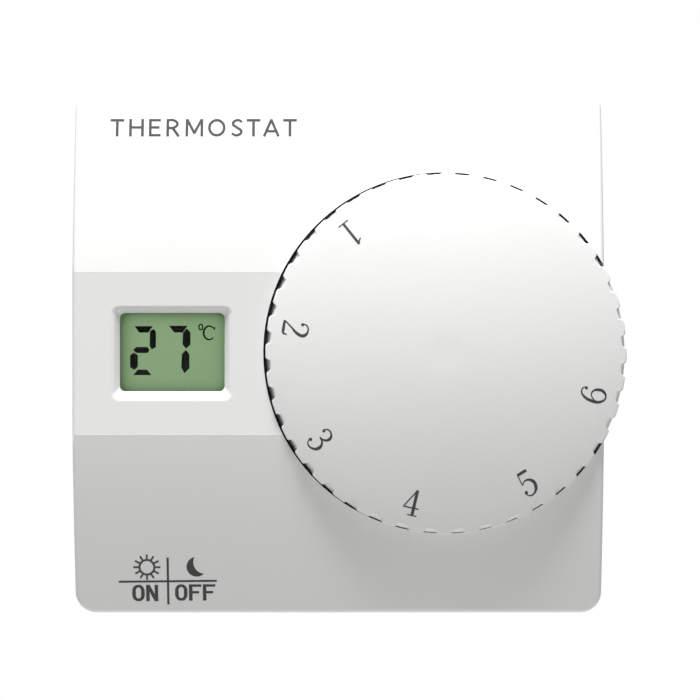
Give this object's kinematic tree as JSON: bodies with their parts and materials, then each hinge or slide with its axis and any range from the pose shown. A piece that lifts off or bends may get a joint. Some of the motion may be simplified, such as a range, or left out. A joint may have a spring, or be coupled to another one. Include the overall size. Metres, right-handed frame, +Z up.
{
  "type": "wall thermostat",
  "caption": "Square wall thermostat with a large notched turning dial, a small display window and a two-position switch in its bottom edge; the case pulls off its wall plate.",
  "frame": {"origin": "middle of the wall plate's back face, which lies on the wall", "axes": "+Z up, +Y into the wall, +X to the right seen from the front, so the front faces -Y"},
  "size_m": [0.0895, 0.0356, 0.086],
  "materials": {
    "shell_white": "fine moulded satin",
    "dial_white": "fine moulded satin",
    "inner_white": "moulded, plain",
    "window_clear": "clear polished plastic",
    "lcd_glass": "polarised glass",
    "lcd_green": "satin reflector film",
    "conductive_rubber": "layered elastomer",
    "board_green": "solder mask",
    "black_plastic": "moulded",
    "relay_blue": "moulded",
    "sleeve_blue": "shrink sleeve",
    "cell_jacket": "printed sleeve",
    "bead_brown": "dipped resin",
    "track_brown": "pressed laminate",
    "steel": "zinc plated",
    "brass": "tin-flashed brass"
  },
  "bodies": {
    "wall_base": {"wall_plate": "inner_white", "terminal_block": "black_plastic", "terminal_cage_1": "brass", "terminal_cage_2": "brass", "terminal_cage_3": "brass", "terminal_screw_1": "steel", "terminal_screw_2": "steel", "terminal_screw_3": "steel", "socket_contact_1": "brass", "socket_contact_2": "brass", "socket_contact_3": "brass"},
    "body_unit": {"front_cover": "shell_white", "rear_cover": "inner_white", "window_lens": "window_clear", "lcd_front_glass": "lcd_glass", "lcd_rear_glass": "lcd_glass", "lcd_reflector": "lcd_green", "lcd_holder": "inner_white", "zebra_strip_upper": "conductive_rubber", "zebra_strip_lower": "conductive_rubber", "circuit_board": "board_green", "relay": "relay_blue", "microcontroller": "black_plastic", "crystal": "steel", "capacitor": "sleeve_blue", "thermistor": "bead_brown", "slide_switch_housing": "steel", "potentiometer_housing": "black_plastic", "potentiometer_track": "track_brown", "battery_cell_1": "cell_jacket", "battery_cell_2": "cell_jacket", "battery_spring_1": "steel", "battery_spring_2": "steel", "battery_plate_positive": "steel", "battery_plate_negative": "steel", "battery_link_plate": "steel", "case_screw_1": "steel", "case_screw_2": "steel", "case_screw_3": "steel", "case_screw_4": "steel", "board_screw_1": "steel", "board_screw_2": "steel", "board_screw_3": "steel", "contact_blade_1": "brass", "contact_blade_2": "brass", "contact_blade_3": "brass"},
    "dial": {"control_dial": "dial_white", "potentiometer_shaft": "inner_white", "potentiometer_wiper": "brass"},
    "mode_switch": {"mode_slider": "shell_white", "switch_lever": "black_plastic"}
  },
  "joints": [
    {"name": "body_pull_off", "type": "slide", "parent": "wall_base", "child": "body_unit", "axis": [0, -1, 0], "range_m": [0, 0.04]},
    {"name": "dial_turn", "type": "hinge", "parent": "body_unit", "child": "dial", "pos_m": [0.0174, 0, -0.0005], "axis": [0, 1, 0], "range_deg": [-78.5, 191.5]},
    {"name": "mode_switch_slide", "type": "slide", "parent": "body_unit", "child": "mode_switch", "axis": [1, 0, 0], "range_m": [0, 0.003]}
  ]
}
